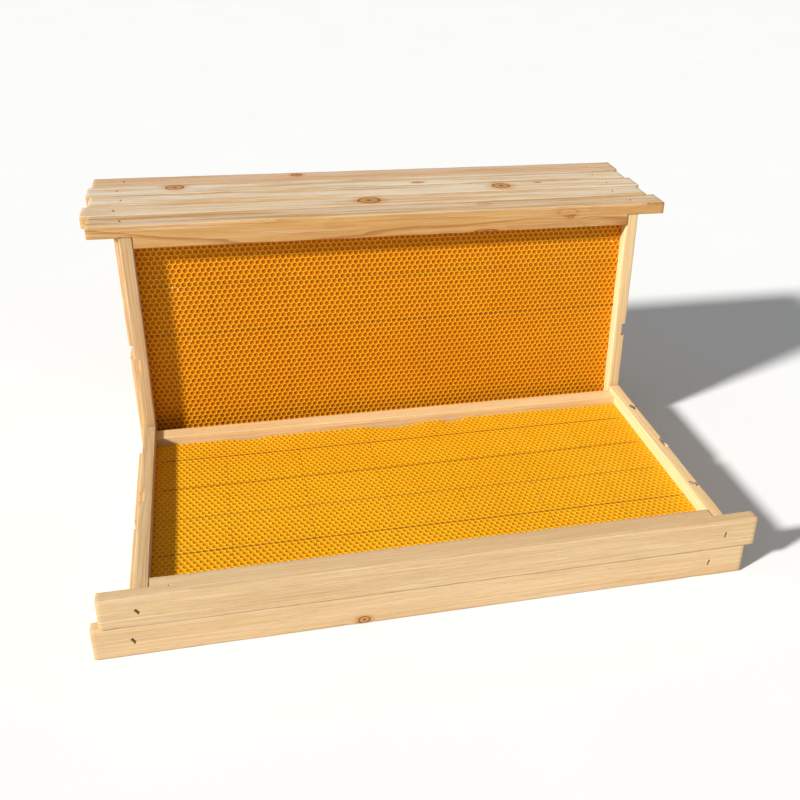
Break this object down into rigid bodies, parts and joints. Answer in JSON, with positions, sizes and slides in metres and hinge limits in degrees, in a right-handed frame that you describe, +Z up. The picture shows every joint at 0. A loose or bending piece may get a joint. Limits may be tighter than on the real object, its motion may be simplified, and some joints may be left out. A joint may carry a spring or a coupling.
{
  "type": "wired beehive frame set",
  "caption": "Set of wooden beehive frames with lugged top bars and wired, hexagon-embossed beeswax sheets: a row stands upright and a stack lies flat in front.",
  "frame": {"origin": "on the floor, under the centre of the whole set's bounding box", "axes": "+X along the top bars, +Y from the flat frames towards the upright ones, +Z up"},
  "size_m": [0.4884, 0.3632, 0.228],
  "materials": {
    "pine_top_bars": "planed, unfinished",
    "pine_side_bars": "planed, unfinished",
    "pine_bottom_bars": "sawn, unfinished",
    "beeswax": "embossed, satin",
    "wire": "drawn, tinned",
    "staples": "galvanised"
  },
  "bodies": {
    "flat_lower": {"flat_lower_top_bar": "pine_top_bars", "flat_lower_left_side_bar": "pine_side_bars", "flat_lower_right_side_bar": "pine_side_bars", "flat_lower_bottom_bar": "pine_bottom_bars", "flat_lower_foundation": "beeswax", "flat_lower_wires": "wire", "flat_lower_joint_staples": "staples", "flat_lower_wire_staples": "staples"},
    "flat_upper": {"flat_upper_top_bar": "pine_top_bars", "flat_upper_left_side_bar": "pine_side_bars", "flat_upper_right_side_bar": "pine_side_bars", "flat_upper_bottom_bar": "pine_bottom_bars", "flat_upper_foundation": "beeswax", "flat_upper_wires": "wire", "flat_upper_joint_staples": "staples", "flat_upper_wire_staples": "staples"},
    "upright_1": {"upright_1_top_bar": "pine_top_bars", "upright_1_left_side_bar": "pine_side_bars", "upright_1_right_side_bar": "pine_side_bars", "upright_1_bottom_bar": "pine_bottom_bars", "upright_1_foundation": "beeswax", "upright_1_wires": "wire", "upright_1_joint_staples": "staples", "upright_1_wire_staples": "staples"},
    "upright_2": {"upright_2_top_bar": "pine_top_bars", "upright_2_left_side_bar": "pine_side_bars", "upright_2_right_side_bar": "pine_side_bars", "upright_2_bottom_bar": "pine_bottom_bars", "upright_2_foundation": "beeswax", "upright_2_wires": "wire", "upright_2_joint_staples": "staples", "upright_2_wire_staples": "staples"},
    "upright_3": {"upright_3_top_bar": "pine_top_bars", "upright_3_left_side_bar": "pine_side_bars", "upright_3_right_side_bar": "pine_side_bars", "upright_3_bottom_bar": "pine_bottom_bars", "upright_3_foundation": "beeswax", "upright_3_wires": "wire", "upright_3_joint_staples": "staples", "upright_3_wire_staples": "staples"},
    "upright_4": {"upright_4_top_bar": "pine_top_bars", "upright_4_left_side_bar": "pine_side_bars", "upright_4_right_side_bar": "pine_side_bars", "upright_4_bottom_bar": "pine_bottom_bars", "upright_4_foundation": "beeswax", "upright_4_wires": "wire", "upright_4_joint_staples": "staples", "upright_4_wire_staples": "staples"},
    "upright_5": {"upright_5_top_bar": "pine_top_bars", "upright_5_left_side_bar": "pine_side_bars", "upright_5_right_side_bar": "pine_side_bars", "upright_5_bottom_bar": "pine_bottom_bars", "upright_5_foundation": "beeswax", "upright_5_wires": "wire", "upright_5_joint_staples": "staples", "upright_5_wire_staples": "staples"}
  },
  "joints": [
    {"name": "flat_upper_lift", "type": "slide", "parent": "flat_lower", "child": "flat_upper", "axis": [0, 0, 1], "range_m": [0, 0.1]},
    {"name": "upright_1_lift", "type": "slide", "parent": "flat_lower", "child": "upright_1", "axis": [0, 0, 1], "range_m": [0, 0.25]},
    {"name": "upright_2_lift", "type": "slide", "parent": "flat_lower", "child": "upright_2", "axis": [0, 0, 1], "range_m": [0, 0.25]},
    {"name": "upright_3_lift", "type": "slide", "parent": "flat_lower", "child": "upright_3", "axis": [0, 0, 1], "range_m": [0, 0.25]},
    {"name": "upright_4_lift", "type": "slide", "parent": "flat_lower", "child": "upright_4", "axis": [0, 0, 1], "range_m": [0, 0.25]},
    {"name": "upright_5_lift", "type": "slide", "parent": "flat_lower", "child": "upright_5", "axis": [0, 0, 1], "range_m": [0, 0.25]}
  ]
}
